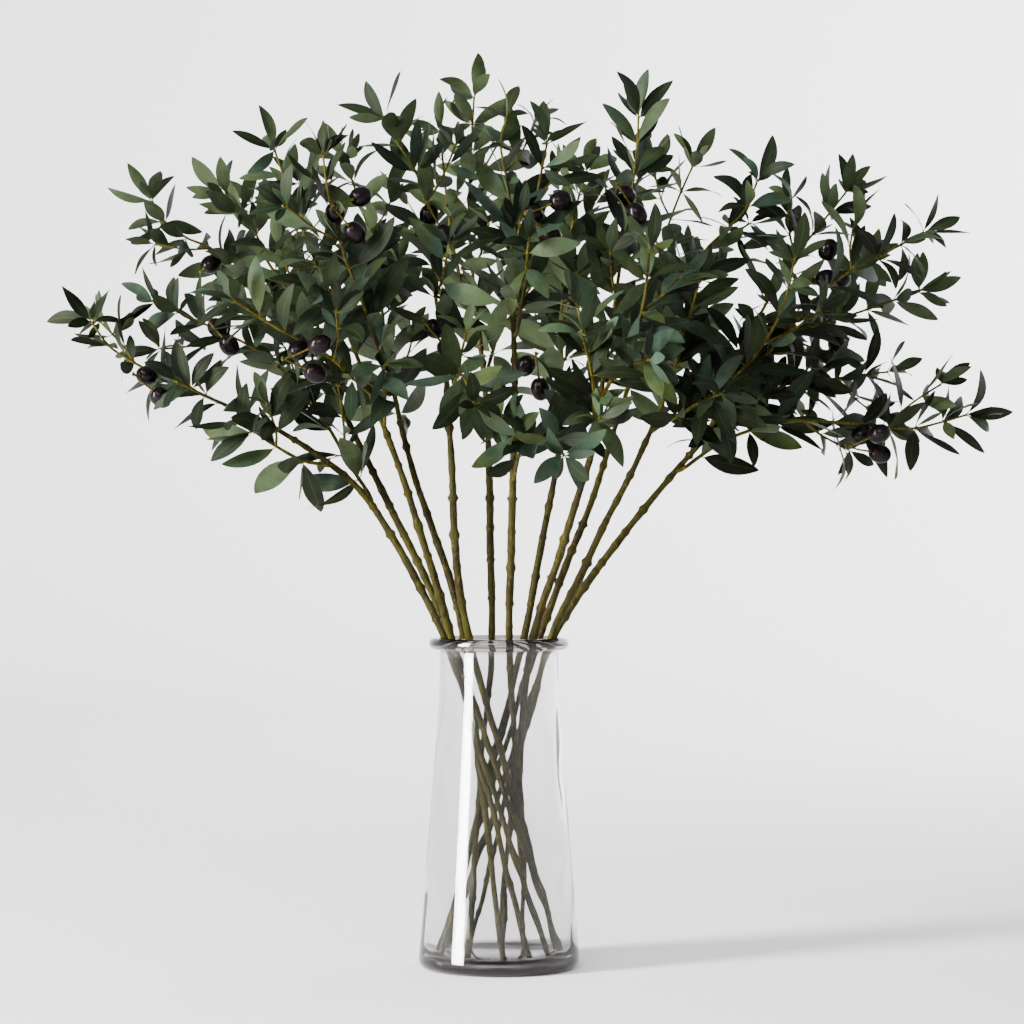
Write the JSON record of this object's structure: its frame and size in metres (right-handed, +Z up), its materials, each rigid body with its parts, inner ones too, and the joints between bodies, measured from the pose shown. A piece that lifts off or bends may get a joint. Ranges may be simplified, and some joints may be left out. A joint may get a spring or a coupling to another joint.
{
  "type": "olive branch with fruit",
  "caption": "Leafy olive branches with dark ripe fruit, fanned out in a tall waisted vase of clear glass with a rolled lip.",
  "frame": {"origin": "centre of the vase's flat underside, where it stands on the table", "axes": "+Z up, +X along the width of the fan of branches, -Y towards the front"},
  "size_m": [0.9595, 0.5183, 0.9268],
  "materials": {
    "glass": "clear, faintly grey",
    "bark": "rough",
    "leaf": "matt",
    "olive": "soft gloss"
  },
  "bodies": {
    "root": {"vase": "glass", "branch_01_cane": "bark", "branch_02_cane": "bark", "branch_03_cane": "bark", "branch_04_cane": "bark", "branch_05_cane": "bark", "branch_06_cane": "bark", "branch_07_cane": "bark", "branch_08_cane": "bark", "branch_09_cane": "bark", "branch_10_cane": "bark", "branch_11_cane": "bark", "branch_12_cane": "bark", "olives_01": "olive", "olives_02": "olive", "olives_03": "olive", "olives_04": "olive", "olives_05": "olive", "olives_06": "olive", "olives_07": "olive", "olives_08": "olive", "olives_09": "olive", "olives_10": "olive", "olives_11": "olive", "olives_12": "olive", "olives_13": "olive", "olives_14": "olive", "branch_01_spray_a": "leaf", "branch_01_spray_b": "leaf", "branch_01_spray_c": "leaf", "branch_02_spray_a": "leaf", "branch_02_spray_b": "leaf", "branch_02_spray_c": "leaf", "branch_03_spray_a": "leaf", "branch_03_spray_b": "leaf", "branch_03_spray_c": "leaf", "branch_04_spray_a": "leaf", "branch_04_spray_b": "leaf", "branch_05_spray_a": "leaf", "branch_05_spray_b": "leaf", "branch_06_spray_a": "leaf", "branch_06_spray_b": "leaf", "branch_06_spray_c": "leaf", "branch_07_spray_a": "leaf", "branch_07_spray_b": "leaf", "branch_07_spray_c": "leaf", "branch_08_spray_a": "leaf", "branch_08_spray_b": "leaf", "branch_09_spray_a": "leaf", "branch_09_spray_b": "leaf", "branch_09_spray_c": "leaf", "branch_10_spray_a": "leaf", "branch_10_spray_b": "leaf", "branch_11_spray_a": "leaf", "branch_11_spray_b": "leaf", "branch_12_spray_a": "leaf", "branch_12_spray_b": "leaf", "branch_12_spray_c": "leaf", "branch_12_spray_d": "leaf", "branch_12_spray_e": "leaf"}
  },
  "joints": []
}
